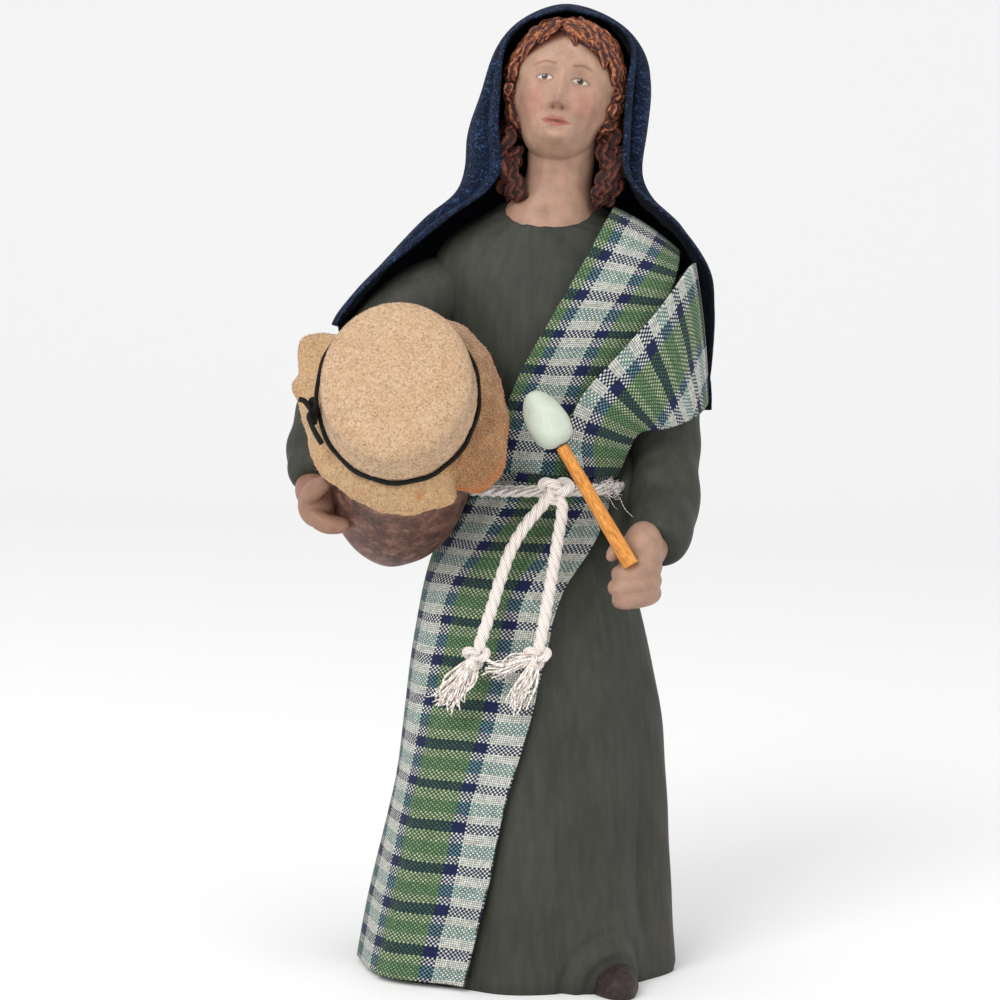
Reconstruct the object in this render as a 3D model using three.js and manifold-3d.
// A hand-made nativity figure: a young drummer in a long robe, modelled in clay and painted,
// dressed in a real headcloth, a plaid sash and a rope belt, with a hide drum and a mallet.
// Millimetres. +Z is up, the figure faces -Y, the viewer's right is +X,
// and the origin is the centre of the flat underside.
import * as THREE from "three";
import { mergeVertices } from "three/addons/utils/BufferGeometryUtils.js";
import Module from "manifold-3d";

const wasm = await Module();
wasm.setup();

// Driving dimensions
const GAP = 0.3; // clearance between touching pieces
const HAIR = 0.06; // edges shorter than this are closed up
const HEM_HALF_WIDTH = 34.2;
const HEM_HALF_DEPTH = 31.0;
const WAIST_HEIGHT = 104;
const SHOULDER_HEIGHT = 151;
const SHOE_ANGLE = 0.6; // radians from the front to the shoe, seen from the axis
const NECKLINE_HEIGHT = 163.3;
const HEAD_CENTRE = new THREE.Vector3(4.3, -3.2, 187.2);
const HEAD_SIZE = new THREE.Vector3(10.7, 12.2, 14.4); // half width, half depth, half height
const HEAD_TURN = -4; // degrees, towards the viewer's right
const HEAD_PITCH = 11; // degrees, looking up
const HEAD_ROLL = 7; // degrees, crown towards the viewer's right
const CLOTH = 1.0; // thickness of the stiffened headcloth
const PLAID = 0.9; // thickness of the woven sash
const CORD_DIAMETER = 2.5;
const DRUM_CENTRE = new THREE.Vector3(-28.2, -42, 128.1); // crown of the stuffed head
const DRUM_TILT = 27; // degrees that the drum head looks up
const DRUM_TURN = -2; // degrees that the bowl swings to the viewer's left
const DRUM_RADIUS = 16.4;
const DRUM_OVAL = 1.15; // the drum is taller than wide by this factor
const DRUM_DOME = 6; // height of the stuffed head above the drum's rim
const DRUM_RIM = 15.9; // radius of that rim
const DRUM_SKIN = 0.9; // thickness of the suede
const DRUM_LENGTH = 50;
const DRUM_SAG = 0.4; // drop of the bowl for each millimetre behind its neck
const DRUM_NECK = 18; // depth from which the bowl sags
const TIE_DEPTH = 12; // how far down the drum the black tie sits
const TIE_DIAMETER = 0.9;
const MALLET_TIP = new THREE.Vector3(2.4, -27.2, 119.2);
const MALLET_BUTT = new THREE.Vector3(20.9, -33.6, 90.2);
const MALLET_HEAD_LENGTH = 12.8;
const MALLET_HEAD_WIDTH = 8.4;

// The robe from hem to neckline: height, centre x, centre y, half width, half depth,
// and how far the ring drops at the front
const ROBE = [
  [0, 0.5, -2.8, HEM_HALF_WIDTH, HEM_HALF_DEPTH, 0],
  [14, 0.9, -2.6, 32.5, 29.6, 0],
  [40, 2.3, -2.0, 28.9, 26.2, 0],
  [56, 2.5, -1.6, 27.1, 23.8, 0],
  [72, 1.7, -1.2, 24.4, 21.0, 0],
  [86, 1.1, -1.0, 21.4, 17.8, 0],
  [97, 1.2, -0.9, 17.4, 14.8, 0],
  [WAIST_HEIGHT, 2.0, -0.8, 15.8, 13.6, 0],
  [114, 3.2, -0.8, 16.8, 13.8, 0],
  [130, 3.8, -0.8, 20.6, 15.2, 0],
  [143, 3.8, -0.5, 24.6, 14.8, 0.2],
  [SHOULDER_HEIGHT, 3.8, 0, 26.2, 13.2, 0.6],
  [156.5, 3.4, 0, 22.4, 11.6, 1.6],
  [160.5, 2.8, -1.2, 15.6, 9.8, 3.0],
  [NECKLINE_HEIGHT, 2.2, -2.6, 9.9, 8.3, 4.6],
];

// The headcloth below the crown: height, half width to the left and to the right of its
// middle, back y, front reach, and how far each side wraps forward, in degrees from the back
const HOOD = [
  [190, 17.0, 19.4, 15.0, 12, 128, 138],
  [179, 20.4, 18.8, 14.6, 12, 138, 136],
  [171, 21.4, 18.2, 14.2, 11, 142, 132],
  [165.5, 23.4, 20.8, 14.2, 12, 136, 124],
  [160, 29.8, 27.8, 15.0, 14, 128, 117],
  [151, 37.4, 33.6, 16.0, 14, 120, 110],
  [143, 44.2, 34.8, 16.6, 13, 114, 104],
  [136, 48.6, 36.0, 17.0, 12, 108, 100],
  [128, 48.0, 36.0, 17.2, 12, 96, 96],
  [112, 42.0, 34.0, 17.6, 12, 84, 90],
  [95, 38.0, 31.0, 18.0, 12, 80, 88],
];
const HOOD_MIDDLE = new THREE.Vector3(4.2, 1.4, 190); // on the axis, at the crown's lower edge
const HOOD_CROWN_HEIGHT = 16.9;
const HOOD_POLE_LEAN = 29; // degrees that the dome's pole leans to the forehead
const HOOD_HEM = { back: 98, left: 136.5, right: 121 }; // lowest point of the cloth
const HOOD_COLUMNS = 20;
const HOOD_ROWS = 11;

// The sash's hanging panel: height and the angles of its left and right edges, in degrees
// from the front, positive to the viewer's right
const PANEL = [
  [107, -58, 66],
  [101, -78, 60],
  [95, -88, 45],
  [83.5, -90, 17],
  [69, -90, 5],
  [56, -90, -2],
  [39, -90, -10],
  [22, -90, -13],
  [1.2, -88, -18],
];

const PAINTED_CLAY = new THREE.MeshStandardMaterial({ color: 0x46483e, roughness: 0.75, metalness: 0 });
const NAVY_COTTON = new THREE.MeshStandardMaterial({ color: 0x1c2c52, roughness: 0.9, metalness: 0 });
const PLAID_COTTON = new THREE.MeshStandardMaterial({ color: 0x7f9688, roughness: 0.9, metalness: 0 });
const WHITE_CORD = new THREE.MeshStandardMaterial({ color: 0xebe1d7, roughness: 0.55, metalness: 0 });
const BROWN_CLAY = new THREE.MeshStandardMaterial({ color: 0x6e4b41, roughness: 0.7, metalness: 0 });
const SUEDE = new THREE.MeshStandardMaterial({ color: 0xdebe96, roughness: 0.95, metalness: 0 });
const BLACK_CORD = new THREE.MeshStandardMaterial({ color: 0x141414, roughness: 0.7, metalness: 0 });
const WOOD = new THREE.MeshStandardMaterial({ color: 0xcd8737, roughness: 0.5, metalness: 0 });
const PALE_PAINT = new THREE.MeshStandardMaterial({ color: 0xc8d0c4, roughness: 0.6, metalness: 0 });

const degrees = THREE.MathUtils.degToRad;
const point = (x, y, z) => new THREE.Vector3(x, y, z);
const easing = (from, to, value) => THREE.MathUtils.smoothstep(value, from, to);

// A row of a station table at a given height, on smooth cubic curves through the stations
function stationAt(table, height) {
  const falling = table[0][0] > table[table.length - 1][0];
  const rows = falling ? [...table].reverse() : table;
  let upper = rows.findIndex((row) => row[0] >= height);
  if (upper < 0) upper = rows.length - 1;
  upper = Math.max(upper, 1);
  const a = rows[Math.max(upper - 2, 0)];
  const b = rows[upper - 1];
  const c = rows[upper];
  const d = rows[Math.min(upper + 1, rows.length - 1)];
  const span = c[0] - b[0];
  const t = THREE.MathUtils.clamp((height - b[0]) / span, 0, 1);
  return b.map((value, column) => {
    const slopeIn = (c[column] - a[column]) / (c[0] - a[0]) * span;
    const slopeOut = (d[column] - b[column]) / (d[0] - b[0]) * span;
    const t2 = t * t;
    const t3 = t2 * t;
    return (2 * t3 - 3 * t2 + 1) * value + (t3 - 2 * t2 + t) * slopeIn
      + (3 * t2 - 2 * t3) * c[column] + (t3 - t2) * slopeOut;
  });
}

// Closed solid of a geometry whose corners are shared; faces that shrank to nothing are dropped
function solidOf(geometry) {
  const bare = geometry.clone();
  bare.deleteAttribute("normal");
  bare.deleteAttribute("uv");
  const merged = mergeVertices(bare, 1e-4);
  const triangles = [];
  for (let i = 0; i < merged.index.count; i += 3) {
    const corners = [0, 1, 2].map((k) => merged.index.getX(i + k));
    if (new Set(corners).size === 3) triangles.push(...corners);
  }
  return new wasm.Manifold(new wasm.Mesh({
    numProp: 3,
    vertProperties: new Float32Array(merged.attributes.position.array),
    triVerts: new Uint32Array(triangles),
  }));
}

// Joins corners that lie closer together than a hair, and drops the faces that close up with them;
// two corners with more than two neighbours in common stay apart, or the skin would pinch
function cornersJoined(spots, faces) {
  const standIn = spots.map((_, corner) => corner);
  const final = (corner) => (standIn[corner] === corner ? corner : final(standIn[corner]));
  const around = spots.map(() => new Set());
  faces.forEach((face) => face.forEach((corner) => face.forEach((next) => around[corner].add(next))));
  const neighbours = (corner) => new Set([...around[corner]].map(final).filter((next) => next !== corner));
  faces.forEach((face) => face.forEach((corner, k) => {
    const [a, b] = [final(corner), final(face[(k + 1) % 3])];
    if (a === b || spots[a].distanceTo(spots[b]) > HAIR) return;
    if ([...neighbours(a)].filter((next) => neighbours(b).has(next)).length !== 2) return;
    standIn[b] = a;
    around[b].forEach((next) => around[a].add(next));
  }));
  return faces.map((face) => face.map(final)).filter((face) => new Set(face).size === 3);
}

// Turns the long edge of each face that is flatter than a hair, so that the face fills out
function flatFacesTurned(spots, faces) {
  const owners = new Map();
  const edges = (face) => [0, 1, 2].map((k) => `${face[k]}>${face[(k + 1) % 3]}`);
  const enter = (which) => edges(faces[which]).forEach((edge) => owners.set(edge, which));
  faces.forEach((_, which) => enter(which));
  const flatness = (face) => {
    const [a, b, c] = face.map((corner) => spots[corner]);
    const area = b.clone().sub(a).cross(c.clone().sub(a)).length();
    return area / Math.max(a.distanceTo(b), b.distanceTo(c), c.distanceTo(a));
  };
  const length = (face, k) => spots[face[k]].distanceTo(spots[face[(k + 1) % 3]]);
  for (let which = 0; which < faces.length; which += 1) {
    const face = faces[which];
    if (flatness(face) > HAIR / 4) continue;
    const long = [0, 1, 2].sort((i, j) => length(face, j) - length(face, i))[0];
    const [a, b, c] = [face[long], face[(long + 1) % 3], face[(long + 2) % 3]];
    const other = owners.get(`${b}>${a}`);
    const d = faces[other].find((corner) => corner !== a && corner !== b);
    if (owners.has(`${c}>${d}`) || owners.has(`${d}>${c}`)) continue;
    [which, other].forEach((old) => edges(faces[old]).forEach((edge) => owners.delete(edge)));
    faces[which] = [a, d, c];
    faces[other] = [d, b, c];
    enter(which);
    enter(other);
  }
  return faces;
}

function geometryOf(solid) {
  const mesh = solid.getMesh();
  const spots = [];
  for (let i = 0; i < mesh.vertProperties.length; i += 3) {
    spots.push(point(...mesh.vertProperties.slice(i, i + 3)));
  }
  const cut = [];
  for (let i = 0; i < mesh.triVerts.length; i += 3) cut.push([...mesh.triVerts.slice(i, i + 3)]);
  const faces = flatFacesTurned(spots, cornersJoined(spots, cut));
  const geometry = new THREE.BufferGeometry().setFromPoints(spots);
  geometry.setIndex(faces.flat());
  geometry.computeVertexNormals();
  return geometry;
}

const joined = (solids) => solids.reduce((sum, next) => sum.add(next));
const largest = (solid) => solid.decompose().sort((a, b) => b.volume() - a.volume())[0];

// Moves every corner of a geometry to the place that a function gives for it
function shaped(geometry, place) {
  const corners = geometry.attributes.position;
  const corner = new THREE.Vector3();
  for (let i = 0; i < corners.count; i += 1) {
    corner.fromBufferAttribute(corners, i);
    const moved = place(corner);
    corners.setXYZ(i, moved.x, moved.y, moved.z);
  }
  return geometry;
}

// A closed cylinder whose skin is skin(t, angle); t runs up it, angle 0 is the front
function loft(skin, around, along) {
  const tube = new THREE.CylinderGeometry(1, 1, 1, around, along).rotateX(Math.PI / 2);
  return shaped(tube, (corner) => {
    const t = corner.z + 0.5;
    if (Math.hypot(corner.x, corner.y) < 0.5) {
      return skin(t, 0).add(skin(t, Math.PI)).multiplyScalar(0.5);
    }
    return skin(t, Math.atan2(corner.x, -corner.y));
  });
}

// A sausage along a smooth curve through the points, one radius at each point, round ends
function limb(points, radii, around, along, bluntness = 3) {
  const curve = new THREE.CatmullRomCurve3(points, false, "centripetal");
  const ball = new THREE.SphereGeometry(1, around, along).rotateX(Math.PI / 2);
  return shaped(ball, (corner) => {
    const height = THREE.MathUtils.clamp(corner.z, -1, 1);
    const t = (height + 1) / 2;
    const tangent = curve.getTangent(t);
    const aside = Math.abs(tangent.x) > 0.9 ? point(0, 1, 0) : point(1, 0, 0);
    const across = tangent.clone().cross(aside).normalize();
    const upward = tangent.clone().cross(across);
    const place = t * (radii.length - 1);
    const first = Math.min(Math.floor(place), radii.length - 2);
    const radius = THREE.MathUtils.lerp(radii[first], radii[first + 1], place - first)
      * (1 - Math.abs(height) ** bluntness) ** (1 / bluntness);
    const angle = Math.atan2(corner.y, corner.x);
    return curve.getPoint(t)
      .addScaledVector(across, Math.cos(angle) * radius)
      .addScaledVector(upward, Math.sin(angle) * radius);
  });
}

function ball(centre, size, around, along, turn = 0) {
  const geometry = new THREE.SphereGeometry(1, around, along).scale(size.x, size.y, size.z);
  return geometry.rotateY(turn).translate(centre.x, centre.y, centre.z);
}

// Splits each four-cornered face of a shaped box along its shorter diagonal, which keeps
// slanting cloth smooth
function shorterDiagonals(geometry) {
  const corners = geometry.attributes.position;
  const spot = (which) => new THREE.Vector3().fromBufferAttribute(corners, which);
  for (let i = 0; i < geometry.index.count; i += 6) {
    const [a, b, d, , c] = [0, 1, 2, 3, 4].map((k) => geometry.index.getX(i + k));
    if (spot(a).distanceTo(spot(c)) < spot(b).distanceTo(spot(d))) {
      [a, b, c, a, c, d].forEach((corner, k) => geometry.index.setX(i + k, corner));
    }
  }
  return geometry;
}

// A sheet of even thickness: surface(u, v) for u and v from 0 to 1, thickened to both sides
function sheet(surface, across, along, thickness) {
  const step = 0.002;
  const slab = new THREE.BoxGeometry(1, 1, 1, across, along, 1);
  shaped(slab, (corner) => {
    const u = corner.x + 0.5;
    const v = corner.y + 0.5;
    const inU = THREE.MathUtils.clamp(u, step, 1 - step);
    const inV = THREE.MathUtils.clamp(v, 0.02, 1 - step);
    const alongU = surface(inU + step, inV).sub(surface(inU - step, inV));
    const alongV = surface(inU, inV + step).sub(surface(inU, inV - step));
    const normal = alongU.cross(alongV).normalize();
    return surface(u, v).addScaledVector(normal, corner.z * thickness);
  });
  return shorterDiagonals(slab);
}

// Robe: skirt, bodice and shoulders, with slack folds that deepen towards the hem
function robeSkin(height, angle, clearance = 0) {
  const [z, x, y, halfWidth, halfDepth, drop] = stationAt(ROBE, height);
  const slack = 1 - easing(30, 95, height);
  const fold = slack * (0.7 * Math.cos(9 * angle + 0.6) + 0.5 * Math.cos(5 * angle - 1.1));
  const overShoe = 2.2 * Math.exp(-(((angle - SHOE_ANGLE) / 0.22) ** 2) - ((height - 6) / 9) ** 2);
  const reach = clearance + fold + overShoe;
  return point(
    x + (halfWidth + reach) * Math.sin(angle),
    y - (halfDepth + reach) * Math.cos(angle),
    z - drop * Math.cos(angle),
  );
}

function robe(clearance = 0) {
  return solidOf(loft((t, angle) => robeSkin(t * NECKLINE_HEIGHT, angle, clearance), 24, 16));
}

// Middle lines of the sleeves from shoulder to cuff, and their radii there
const DRUM_ARM = {
  route: [point(-16, 0.6, 146), point(-25.6, -0.6, 140.4), point(-35.2, -1.8, 129), point(-42.6, -3.6, 117),
    point(-45.2, -7, 108.5), point(-46, -12.5, 103.5)],
  radii: [8.6, 9.0, 8.9, 8.4, 7.3, 5.8],
};
const MALLET_ARM = {
  route: [point(18, 1, 147), point(24, 1, 140), point(27.8, 0.5, 127), point(29.2, -3, 113),
    point(29, -12, 102), point(25.4, -24.5, 94)],
  radii: [8.6, 8.6, 8.4, 8, 7.2, 6.6],
};

function sleeves(clearance = 0) {
  return [DRUM_ARM, MALLET_ARM].map(({ route, radii }) => (
    solidOf(limb(route, radii.map((radius) => radius + clearance), 11, 9, 8))));
}

// Moves a point that lies within a clearance of a sleeve straight out of it
function outsideSleeve(spot, { route, radii }, clearance) {
  const curve = new THREE.CatmullRomCurve3(route, false, "centripetal");
  const samples = 40;
  let nearest = Infinity;
  let away = null;
  let radius = 0;
  for (let sample = 0; sample <= samples; sample += 1) {
    const t = sample / samples;
    const offset = spot.clone().sub(curve.getPoint(t));
    if (offset.length() < nearest) {
      nearest = offset.length();
      away = offset;
      const at = t * (radii.length - 1);
      const first = Math.min(Math.floor(at), radii.length - 2);
      radius = THREE.MathUtils.lerp(radii[first], radii[first + 1], at - first);
    }
  }
  const push = Math.max(radius + clearance - nearest, 0);
  return spot.addScaledVector(away.normalize(), push);
}

// Head in its own frame, face to -Y: an egg with brow, nose, lips and jaw, and a cap of hair
function headSkin(direction) {
  const face = easing(0.25, 0.8, -direction.y);
  const low = easing(-0.1, 0.95, -direction.z);
  const jaw = direction.y < 0 ? 0.6 * easing(0.45, 1, -direction.z) : -0.2 * low;
  const near = (x, z, width, height) => (
    Math.exp(-(((direction.x - x) / width) ** 2) - ((direction.z - z) / height) ** 2) * face);
  const nose = 1.1 * near(0, -0.12, 0.12, 0.16) + 2.1 * near(0, -0.31, 0.15, 0.1);
  const brow = 0.4 * near(0, 0.16, 0.5, 0.08);
  const sockets = 0.9 * (near(-0.36, 0, 0.17, 0.11) + near(0.36, 0, 0.17, 0.11));
  const lips = 0.8 * near(0, -0.55, 0.2, 0.08);
  const chin = 0.9 * near(0, -0.82, 0.22, 0.12);
  const hairline = 0.5 - 0.55 * Math.abs(direction.x);
  const hair = Math.max(easing(hairline, hairline + 0.12, direction.z), easing(-0.45, -0.2, direction.y));
  return point(
    direction.x * HEAD_SIZE.x * (1 - 0.24 * low + 0.4 * Math.max(jaw, 0)),
    direction.y * HEAD_SIZE.y * (1 + jaw),
    direction.z * HEAD_SIZE.z,
  ).addScaledVector(direction, nose + brow - sockets + lips + chin + hair * 1.6 * (1 - 0.6 * low));
}

function headPlaced(geometry) {
  geometry.rotateY(degrees(HEAD_ROLL)).rotateX(degrees(-HEAD_PITCH)).rotateZ(degrees(HEAD_TURN));
  return geometry.translate(HEAD_CENTRE.x, HEAD_CENTRE.y, HEAD_CENTRE.z);
}

// A lock of the fringe: it leaves the crown, swells over the hairline and turns in to the temple
function fringeLock(turn, clearance) {
  const onHead = (azimuth, elevation) => {
    const around = degrees(azimuth);
    const up = degrees(elevation);
    return headSkin(point(Math.sin(around) * Math.cos(up), -Math.cos(around) * Math.cos(up), Math.sin(up)));
  };
  const end = onHead(turn + 8, 34 - 0.28 * Math.abs(turn));
  const route = [onHead(0.4 * turn, 72), onHead(0.8 * turn, 50), end];
  return headPlaced(limb(route, [1.5, 2.1, 1.4].map((radius) => radius + clearance), 6, 4));
}

// Draws the directions to a ball's corners together round the middle of the face
function closerToFace(direction) {
  const around = Math.atan2(direction.x, -direction.y);
  const up = Math.asin(THREE.MathUtils.clamp(direction.z, -1, 1));
  const turned = around - 0.6 * Math.sin(around);
  const raised = up - 0.22 * Math.cos(up) * Math.sin(2 * (up + 0.35));
  const level = Math.cos(raised);
  return point(Math.sin(turned) * level, -Math.cos(turned) * level, Math.sin(raised));
}

function headAndNeck(clearance = 0) {
  const skull = headPlaced(shaped(new THREE.SphereGeometry(1, 20, 16).rotateX(Math.PI / 2), (corner) => {
    const direction = closerToFace(corner.clone().normalize());
    return headSkin(direction).addScaledVector(direction, clearance);
  }));
  const throat = [point(2.4, 0, 154), point(3.4, -0.5, 166), point(4.2, -2, 180)];
  const neck = limb(throat, [9, 7.4, 7.4], 12, 6, 8);
  const fringe = [-78, -50, -24, 2, 28, 54, 80].map((turn) => fringeLock(turn, clearance));
  const sideLocks = [
    limb([point(-6.6, -2.5, 183), point(-7, -4, 174), point(-5.4, -4.6, 164.6)],
      [2.6, 3.1, 2.4].map((radius) => radius + clearance), 8, 6),
    limb([point(14.6, -2.5, 184), point(14, -4, 174), point(13, -4.6, 164)],
      [2.6, 3.2, 2.6].map((radius) => radius + clearance), 8, 6),
  ];
  return [skull, neck, ...fringe, ...sideLocks].map(solidOf);
}

// Left fist, round the end of the mallet: palm, four curled fingers and the thumb
function malletHand() {
  const parts = [ball(point(24, -27.4, 89.6), point(5.3, 5.5, 7.3), 10, 7)];
  const stack = new THREE.LineCurve3(point(23.4, -29.8, 94.4), point(21.6, -29.6, 83.4));
  for (let finger = 0; finger < 4; finger += 1) {
    const knuckle = stack.getPoint(finger / 3);
    parts.push(limb(
      [knuckle.clone().add(point(4.3, 2.4, 0.1)), knuckle.clone().add(point(2.6, -3.2, 0.2)),
        knuckle.clone().add(point(-2, -4.6, 0)), knuckle.clone().add(point(-4.6, -1.8, -0.6))],
      [2.2, 2.5, 2.3, 1.8], 7, 4, 5));
  }
  parts.push(limb([point(22, -25, 93), point(18, -28.5, 93.5), point(17.2, -31, 91)], [2.6, 2.3, 1.9], 8, 6));
  parts.push(limb([point(26, -20, 95), point(24.6, -27, 91)], [4.6, 4.6], 10, 5));
  return parts.map(solidOf);
}

// Right hand, under the drum: palm, fingers spread below the bowl and the thumb beside it
function drumHand() {
  const parts = [
    ball(point(-45.2, -16.5, 98.6), point(4.2, 5.4, 5.2), 10, 7),
    limb([point(-46, -8, 104), point(-45.6, -15, 100)], [4.2, 4.2], 10, 5),
    limb([point(-47, -19, 100), point(-45, -23.5, 102.6), point(-42, -27, 105)], [2.3, 2.1, 1.8], 8, 6),
  ];
  for (let finger = 0; finger < 4; finger += 1) {
    const spread = finger * 3.1;
    parts.push(limb(
      [point(-46.5, -21 + spread, 97), point(-43, -22.5 + spread, 93.4),
        point(-38, -23 + spread, 92 - 0.5 * finger)],
      [2.2, 2.1, 1.8], 6, 5));
  }
  return parts.map(solidOf);
}

// The toe of the one shoe that shows from under the hem
function shoe() {
  return solidOf(ball(point(20.4, -26, 2.2), point(6.0, 9.8, 6.2), 12, 8, -0.2));
}

// Everything below the flat underside is cut away
function floorCut(solid) {
  const slab = new THREE.BoxGeometry(200, 200, 40).translate(0, 0, -20);
  return solid.subtract(solidOf(slab));
}

function figure() {
  const body = joined([robe(), ...sleeves(), ...headAndNeck(), ...malletHand(), ...drumHand(), shoe()]);
  const stickRoom = solidOf(malletStick(GAP));
  return floorCut(body.subtract(drumRoom()).subtract(stickRoom));
}

// Headcloth: a dome over the crown whose pole lies on the front hem, then a draped fall
function hoodSkin(u, v) {
  const crown = 0.3; // share of the cloth's length that lies on the crown
  const side = 2 * u - 1;
  const across = (toLeft, toRight) => THREE.MathUtils.lerp(toLeft, toRight, easing(-0.5, 0.5, side));
  if (v < crown) {
    const polar = (v / crown) * Math.PI / 2;
    const [, left, right, back, front, wrapLeft, wrapRight] = HOOD[0];
    const wrap = THREE.MathUtils.lerp(100, side < 0 ? wrapLeft : wrapRight, easing(0.3, 1, v / crown));
    const angle = side * degrees(wrap);
    const depth = Math.cos(angle) > 0 ? back - HOOD_MIDDLE.y : front;
    const spot = point(
      across(left, right) * Math.sin(polar) * Math.sin(angle),
      depth * Math.sin(polar) * Math.cos(angle),
      HOOD_CROWN_HEIGHT * Math.cos(polar),
    );
    spot.applyAxisAngle(point(1, 0, 0), degrees(HOOD_POLE_LEAN) * Math.cos(polar));
    return spot.add(HOOD_MIDDLE);
  }
  const fall = (v - crown) / (1 - crown);
  const rise = easing(0.3, side < 0 ? 0.78 : 0.9, Math.abs(side));
  const hem = THREE.MathUtils.lerp(HOOD_HEM.back, side < 0 ? HOOD_HEM.left : HOOD_HEM.right, rise);
  const height = THREE.MathUtils.lerp(HOOD_MIDDLE.z, hem, fall);
  const [z, left, right, back, front, wrapLeft, wrapRight] = stationAt(HOOD, height);
  const angle = side * degrees(side < 0 ? wrapLeft : wrapRight);
  const ripple = easing(0.1, 0.8, fall) * 1.1 * Math.cos(6 * angle);
  const depth = Math.cos(angle) > 0 ? back - HOOD_MIDDLE.y : front;
  const square = Math.sign(Math.cos(angle)) * Math.abs(Math.cos(angle)) ** 0.6; // fuller than an ellipse
  const spot = point(
    HOOD_MIDDLE.x + (across(left, right) + ripple) * Math.sin(angle),
    HOOD_MIDDLE.y + (depth + ripple) * square,
    z,
  );
  const clearance = GAP + CLOTH / 2 + 0.5;
  return outsideSleeve(outsideSleeve(spot, DRUM_ARM, clearance), MALLET_ARM, clearance + PLAID);
}

function headcloth() {
  const body = joined([robe(GAP), ...sleeves(GAP), ...headAndNeck(GAP)]);
  return largest(solidOf(sheet(hoodSkin, HOOD_COLUMNS, HOOD_ROWS, CLOTH)).subtract(body));
}

// A cloth band between two edges, each a smooth curve, arched outwards between them, by one
// height at its lower end and another from a third of its length upwards
function band(leftEdge, rightEdge, archBelow, archAbove) {
  const left = new THREE.CatmullRomCurve3(leftEdge, false, "centripetal");
  const right = new THREE.CatmullRomCurve3(rightEdge, false, "centripetal");
  return (u, v) => {
    const a = left.getPoint(THREE.MathUtils.clamp(v, 0, 1));
    const b = right.getPoint(THREE.MathUtils.clamp(v, 0, 1));
    const run = left.getTangent(THREE.MathUtils.clamp(v, 0, 1));
    const outward = b.clone().sub(a).cross(run).normalize();
    const arch = THREE.MathUtils.lerp(archBelow, archAbove, easing(0, 0.33, v));
    return a.lerp(b, u).addScaledVector(outward, arch * 4 * u * (1 - u));
  };
}

// Sash: the hanging panel on the skirt, the band up to the shoulder and the flap over the arm
function sash() {
  const lay = GAP + PLAID / 2 + 0.35;
  const panel = sheet((u, v) => {
    const height = THREE.MathUtils.lerp(PANEL[0][0], PANEL[PANEL.length - 1][0], v);
    const [, left, right] = stationAt(PANEL, height);
    const gather = 0.3 * easing(96, 104, height);
    return robeSkin(height, degrees(THREE.MathUtils.lerp(left, right, u)), lay + gather);
  }, 7, 12, PLAID);
  const shoulderBand = sheet(band(
    [point(-9, -11.8, 103), point(-7.8, -12.6, 113), point(-4, -17.4, 126), point(3, -18.4, 140),
      point(10, -15.6, 153), point(14.6, -9, 162), point(16, 0, 163.5), point(17, 9, 158),
      point(18, 14.6, 146)],
    [point(13, -12.2, 103), point(15.2, -12.8, 113), point(19.5, -15, 126), point(25.5, -14.6, 140),
      point(29, -10.5, 149), point(30, -5, 154), point(30, 2, 155), point(29.5, 9, 151), point(27, 14, 144)],
    3.2, 0.6), 4, 10, PLAID);
  const flap = sheet(band(
    [point(8, -17.2, 106.9), point(7, -18.2, 114), point(9.5, -19.6, 123), point(17.5, -19.4, 133),
      point(25, -17.4, 142), point(31.6, -11.4, 151.2), point(33.4, -4, 152.4), point(32.6, 5, 151),
      point(28, 13, 146)],
    [point(18.4, -10.5, 106.9), point(20.2, -13, 112), point(22.6, -15, 116.4), point(28, -14.6, 117.4),
      point(33.4, -11.6, 119.4), point(37, -4, 122), point(37.4, 3, 124), point(34, 9.6, 126),
      point(28, 13, 128)],
    0.6, 0.6), 4, 11, PLAID);
  const clothed = solidOf(sheet(hoodSkin, HOOD_COLUMNS, HOOD_ROWS, CLOTH + 2 * GAP));
  const body = joined([robe(GAP), ...sleeves(GAP)]);
  const cloth = joined([panel, shoulderBand, flap].map(solidOf));
  return largest(cloth.subtract(clothed).subtract(body).subtract(drumRoom()));
}

// A cord of even section swept along a smooth curve
function cord(curve, diameter, steps, closed = false) {
  const sides = 8;
  const section = new THREE.Shape();
  for (let side = 0; side < sides; side += 1) {
    const angle = (side / sides) * 2 * Math.PI;
    const corner = [Math.cos(angle) * diameter / 2, Math.sin(angle) * diameter / 2];
    if (side === 0) section.moveTo(...corner);
    else section.lineTo(...corner);
  }
  section.closePath();
  return new THREE.ExtrudeGeometry(section, { steps, extrudePath: curve, curveSegments: 1, closed });
}

// Belt: a ring of rope on top of the robe and sash, with its knot in front
const KNOT = point(5.2, -19.8, 104.2);

function belt() {
  const ring = new THREE.TorusGeometry(1, 0.1, 5, 22);
  const rope = CORD_DIAMETER / 2;
  shaped(ring, (corner) => {
    const angle = Math.atan2(corner.x, -corner.y);
    const radius = Math.hypot(corner.x, corner.y);
    const front = Math.cos(angle);
    const layers = 0.55 + 1.6 * easing(-0.3, 0.3, front) + 1.1 * easing(0.45, 0.75, front);
    const spot = robeSkin(WAIST_HEIGHT, angle, GAP + rope + layers + (radius - 1) * 10 * rope);
    spot.z += corner.z * 10 * rope - 0.4 + 0.9 * Math.sin(angle);
    return spot;
  });
  const knot = [
    ball(KNOT, point(3.2, 2.2, 2.5), 8, 5, 0.3),
    ball(KNOT.clone().add(point(-1.4, -0.4, -0.6)), point(2.0, 2.0, 2.4), 7, 5, 0.6),
    ball(KNOT.clone().add(point(1.4, -0.4, -0.9)), point(1.9, 1.9, 2.3), 7, 5, -0.4),
  ];
  return largest(joined([ring, ...knot].map(solidOf)).subtract(drumRoom()));
}

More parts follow.
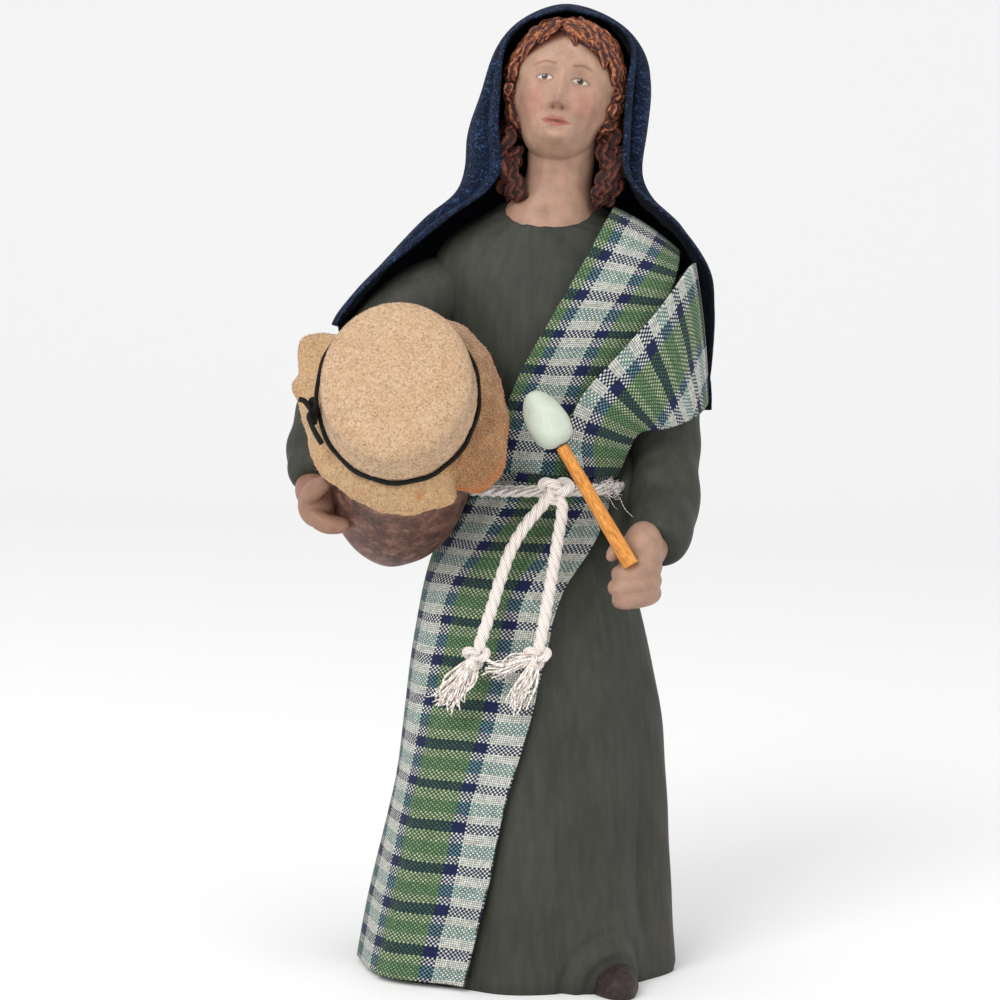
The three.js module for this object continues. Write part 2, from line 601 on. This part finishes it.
const TAILS = {
  left: [point(2.4, -21.4, 100.8), point(-0.4, -22.8, 97.4), point(-3.4, -24.4, 92.4), point(-5.6, -25.6, 86),
    point(-7.4, -27.4, 79.4), point(-9.4, -28.4, 72.6)],
  right: [point(6.6, -21.4, 100.6), point(6, -22.8, 94.6), point(5.2, -24.6, 88.6), point(4.3, -26, 82),
    point(3, -28, 73.4)],
};

function tail(points) {
  return solidOf(cord(new THREE.CatmullRomCurve3(points, false, "centripetal"), CORD_DIAMETER - 0.1, 10));
}

// End knots of the tails, and where the loose yarn below each of them ends
const END_KNOTS = {
  left: { centre: point(-10.2, -28.8, 69.6), tips: [point(-17.4, -29.4, 60.6), point(-13.6, -29.6, 60)] },
  right: { centre: point(2.4, -28.6, 70), tips: [point(-6.6, -29.6, 67.4), point(-2.2, -30, 60.6)] },
};

function tailKnot({ centre, tips }) {
  const parts = [ball(centre, point(2.3, 2.2, 2.1), 8, 5, 0.4)];
  tips.forEach((tip) => {
    const middle = centre.clone().lerp(tip, 0.6);
    parts.push(limb([centre.clone(), middle, tip], [1.2, 1.3, 0.9], 6, 3));
  });
  return joined(parts.map(solidOf));
}

// Drum in its own frame: the axis is +Z, the stuffed head's crown is at 0 and the bowl is below
function domeOutline(radius, height, steps) {
  const outline = [];
  for (let step = 0; step <= steps; step += 1) {
    const angle = (step / steps) * Math.PI / 2;
    outline.push([radius * Math.sin(angle) ** 0.6, height * (Math.cos(angle) ** 0.6 - 1)]);
  }
  return outline;
}

function drumOutline(clearance = 0) {
  const radius = DRUM_RADIUS - DRUM_SKIN - GAP;
  const height = DRUM_DOME - DRUM_SKIN - GAP;
  const dome = domeOutline(DRUM_RIM - DRUM_SKIN - GAP, height, 5).map(([r, z]) => [r, z - DRUM_SKIN - GAP]);
  const bowl = [
    [radius, -TIE_DEPTH - 2], [radius + 0.6, -22], [radius + 0.4, -28], [radius - 0.4, -34],
    [radius - 1.9, -40], [radius - 4.3, -45], [radius - 8.2, -48.5], [0, -DRUM_LENGTH],
  ];
  const outline = [...dome, ...bowl].map(([r, z]) => {
    const grown = r > 0 ? r + clearance : 0;
    return new THREE.Vector2(grown, z + (z < -40 ? -clearance : 0));
  });
  return new THREE.LatheGeometry(outline.reverse(), 20);
}

// The lathe is made oval, sags behind its neck, is leant back and set at the drum's place
function drumPlaced(geometry) {
  shaped(geometry, ({ x, y, z }) => (
    point(x, y, z * DRUM_OVAL + DRUM_SAG * Math.max(-y - DRUM_NECK, 0))));
  return geometry
    .rotateX(Math.PI / 2).rotateX(degrees(90 - DRUM_TILT)).rotateZ(degrees(DRUM_TURN))
    .translate(DRUM_CENTRE.x, DRUM_CENTRE.y, DRUM_CENTRE.z);
}

// Turn in degrees from the bottom towards the viewer's right, and how far beyond the tie the
// suede's cut edge reaches there
const EDGE = [
  [-180, 4], [-150, 4.6], [-122, 8.8], [-100, 6.2], [-72, 3.4], [-24, 3.1], [9, 4.4], [34, 5.1], [61, 7.8],
  [86, 6.2], [127, 5.1], [160, 4], [180, 4],
];
const EDGE_REACH = 4.8; // reach of the skirt's plain section

// The skin's own section: stuffed head, side down to the tie, then the ruffled skirt
function skinOutline() {
  const skirt = [[0, 0], [1.7, 1.8], [3.4, 3.6], [EDGE_REACH, 5.5]]; // outward and down from the tie
  const flared = (shift) => skirt.map(([out, down]) => (
    [DRUM_RADIUS - shift + out, -TIE_DEPTH - down - 0.3 * shift]));
  const outside = [...domeOutline(DRUM_RIM, DRUM_DOME, 5), ...flared(0)];
  const lining = domeOutline(DRUM_RIM - DRUM_SKIN, DRUM_DOME - DRUM_SKIN, 5)
    .map(([r, z]) => [r, z - DRUM_SKIN]);
  const inside = [...lining, ...flared(DRUM_SKIN)].reverse();
  return [...outside, ...inside].reverse().map(([r, z]) => new THREE.Vector2(r, z));
}

function ruffled(geometry) {
  return shaped(geometry, (corner) => {
    const free = easing(TIE_DEPTH + 0.6, TIE_DEPTH + 5.5, -corner.y);
    const angle = Math.atan2(corner.x, corner.z);
    const spread = stationAt(EDGE, THREE.MathUtils.radToDeg(angle))[1] - EDGE_REACH;
    const radius = Math.hypot(corner.x, corner.z);
    const scale = radius > 0.01 ? (radius + free * spread) / radius : 1;
    return point(corner.x * scale, corner.y - free * 0.5 * Math.cos(5 * angle + 1), corner.z * scale);
  });
}

function drumSkin() {
  return solidOf(drumPlaced(ruffled(new THREE.LatheGeometry(skinOutline(), 22))));
}

function drumBody() {
  return solidOf(drumPlaced(drumOutline()));
}

// The room that the bowl takes up in the robe and in the cloth and rope on it
function drumRoom() {
  return solidOf(drumPlaced(drumOutline(GAP)));
}

// Black tie round the skin with its knot and two short ends on the viewer's left
function drumTie() {
  const radius = DRUM_RADIUS + GAP + TIE_DIAMETER / 2;
  const ring = new THREE.TorusGeometry(radius, TIE_DIAMETER / 2, 4, 22).rotateX(Math.PI / 2);
  ring.translate(0, -TIE_DEPTH + 0.4, 0);
  const at = point(-radius - 0.4, -TIE_DEPTH + 1.1, 3);
  const knot = ball(at, point(1.3, 1.5, 1.5), 7, 5);
  const ends = [
    limb([at.clone(), at.clone().add(point(-1, 0.8, -1.2)), at.clone().add(point(-1.6, 1, -2.6))],
      [0.5, 0.5, 0.45], 6, 4),
    limb([at.clone(), at.clone().add(point(0, 1.4, 2.6)), at.clone().add(point(1.6, 1.2, 6.4))],
      [0.5, 0.5, 0.45], 6, 5),
  ];
  return joined([ring, knot, ...ends].map((piece) => solidOf(drumPlaced(piece))));
}

// Mallet: a straight stick and an egg-shaped head on its tip
function alongMallet(geometry, distance) {
  const run = MALLET_TIP.clone().sub(MALLET_BUTT).normalize();
  const turn = new THREE.Quaternion().setFromUnitVectors(point(0, 1, 0), run);
  const spot = MALLET_BUTT.clone().addScaledVector(run, distance);
  return geometry.applyQuaternion(turn).translate(spot.x, spot.y, spot.z);
}

function malletStick(clearance = 0) {
  const length = MALLET_BUTT.distanceTo(MALLET_TIP) - MALLET_HEAD_LENGTH / 2 - GAP;
  const stick = new THREE.CylinderGeometry(1.35 + clearance, 1.75 + clearance, length + clearance, 12);
  return alongMallet(stick, (length - clearance) / 2);
}

function malletHead() {
  const egg = shaped(new THREE.SphereGeometry(1, 14, 10), (corner) => {
    const slim = 1 - 0.16 * corner.y;
    const flare = corner.y < -0.5 ? 1 + 0.35 * (-0.5 - corner.y) : 1;
    return point(
      corner.x * slim * flare * MALLET_HEAD_WIDTH / 2,
      Math.max(corner.y, -0.97) * MALLET_HEAD_LENGTH / 2,
      corner.z * slim * flare * MALLET_HEAD_WIDTH / 2,
    );
  });
  return alongMallet(egg, MALLET_BUTT.distanceTo(MALLET_TIP));
}

const part = new THREE.Group();

function place(name, solid, material) {
  const mesh = new THREE.Mesh(geometryOf(solid), material);
  mesh.name = name;
  part.add(mesh);
}

place("figure", figure(), PAINTED_CLAY);
place("headcloth", headcloth(), NAVY_COTTON);
place("plaid_sash", sash(), PLAID_COTTON);
place("belt_cord", belt(), WHITE_CORD);
place("belt_tail_left", tail(TAILS.left), WHITE_CORD);
place("belt_tail_right", tail(TAILS.right), WHITE_CORD);
place("tail_knot_left", tailKnot(END_KNOTS.left), WHITE_CORD);
place("tail_knot_right", tailKnot(END_KNOTS.right), WHITE_CORD);
place("drum_body", drumBody(), BROWN_CLAY);
place("drum_skin", drumSkin(), SUEDE);
place("drum_tie", drumTie(), BLACK_CORD);
place("mallet_stick", solidOf(malletStick()), WOOD);
place("mallet_head", solidOf(malletHead()), PALE_PAINT);

export default part;
